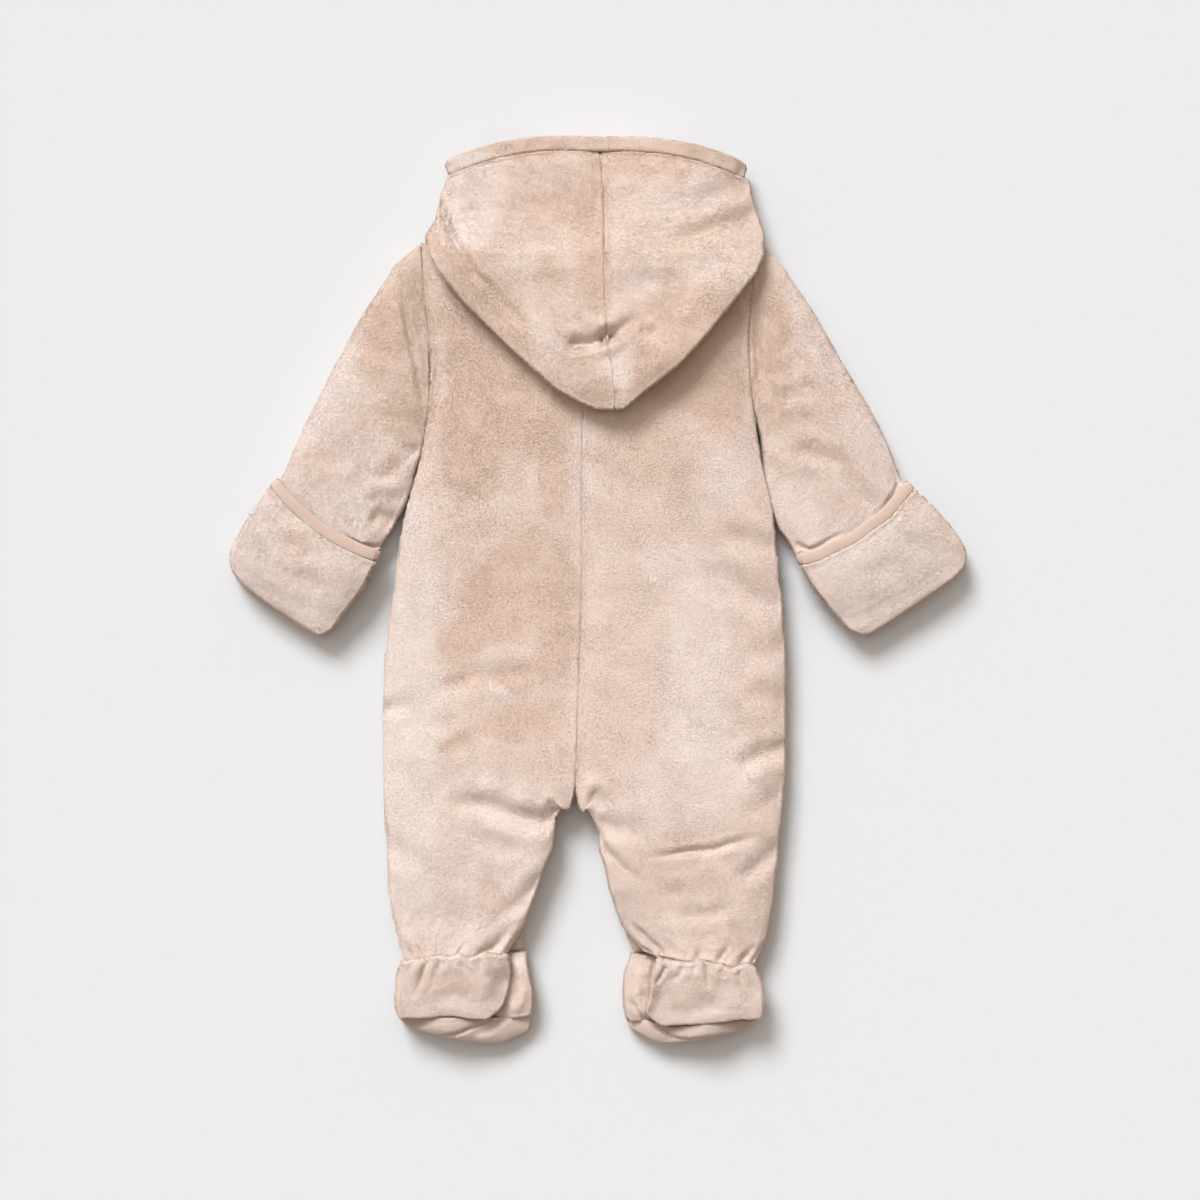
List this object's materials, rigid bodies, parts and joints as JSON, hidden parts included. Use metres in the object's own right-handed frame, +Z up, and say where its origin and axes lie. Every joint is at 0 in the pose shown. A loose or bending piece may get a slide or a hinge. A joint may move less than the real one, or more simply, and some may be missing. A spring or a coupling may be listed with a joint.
{
  "type": "baby pramsuit",
  "caption": "Footed, hooded baby pramsuit in padded plush, with fold-over mitts, laid flat on its front with its back up.",
  "frame": {"origin": "on the surface the garment lies on, below the middle of its outline", "axes": "+X towards the wearer's right side, +Y from the feet to the hood, +Z up out of the back of the garment"},
  "size_m": [0.554, 0.681, 0.0475],
  "materials": {
    "plush": "short soft plush pile in pale pinkish beige, with a nap that lies in lighter and darker patches",
    "sole_plush": "the same plush brushed flat, a little darker",
    "jersey": "smooth matt cotton jersey binding",
    "zip_tape": "woven zip tape and moulded chain in the colour of the plush",
    "nickel": "satin nickel"
  },
  "bodies": {
    "root": {"back_left": "plush", "back_right": "plush", "front_left": "plush", "front_right": "plush", "front_zip": "zip_tape", "zip_slider": "nickel", "sleeve_left": "plush", "sleeve_right": "plush", "mitt_back_left": "plush", "mitt_back_right": "plush", "mitt_palm_left": "plush", "mitt_palm_right": "plush", "mitt_binding_left": "jersey", "mitt_binding_right": "jersey", "hood_left": "plush", "hood_right": "plush", "hood_brim": "plush", "heel_left": "plush", "heel_right": "plush", "vamp_left": "plush", "vamp_right": "plush", "sole_left": "sole_plush", "sole_right": "sole_plush"}
  },
  "joints": []
}
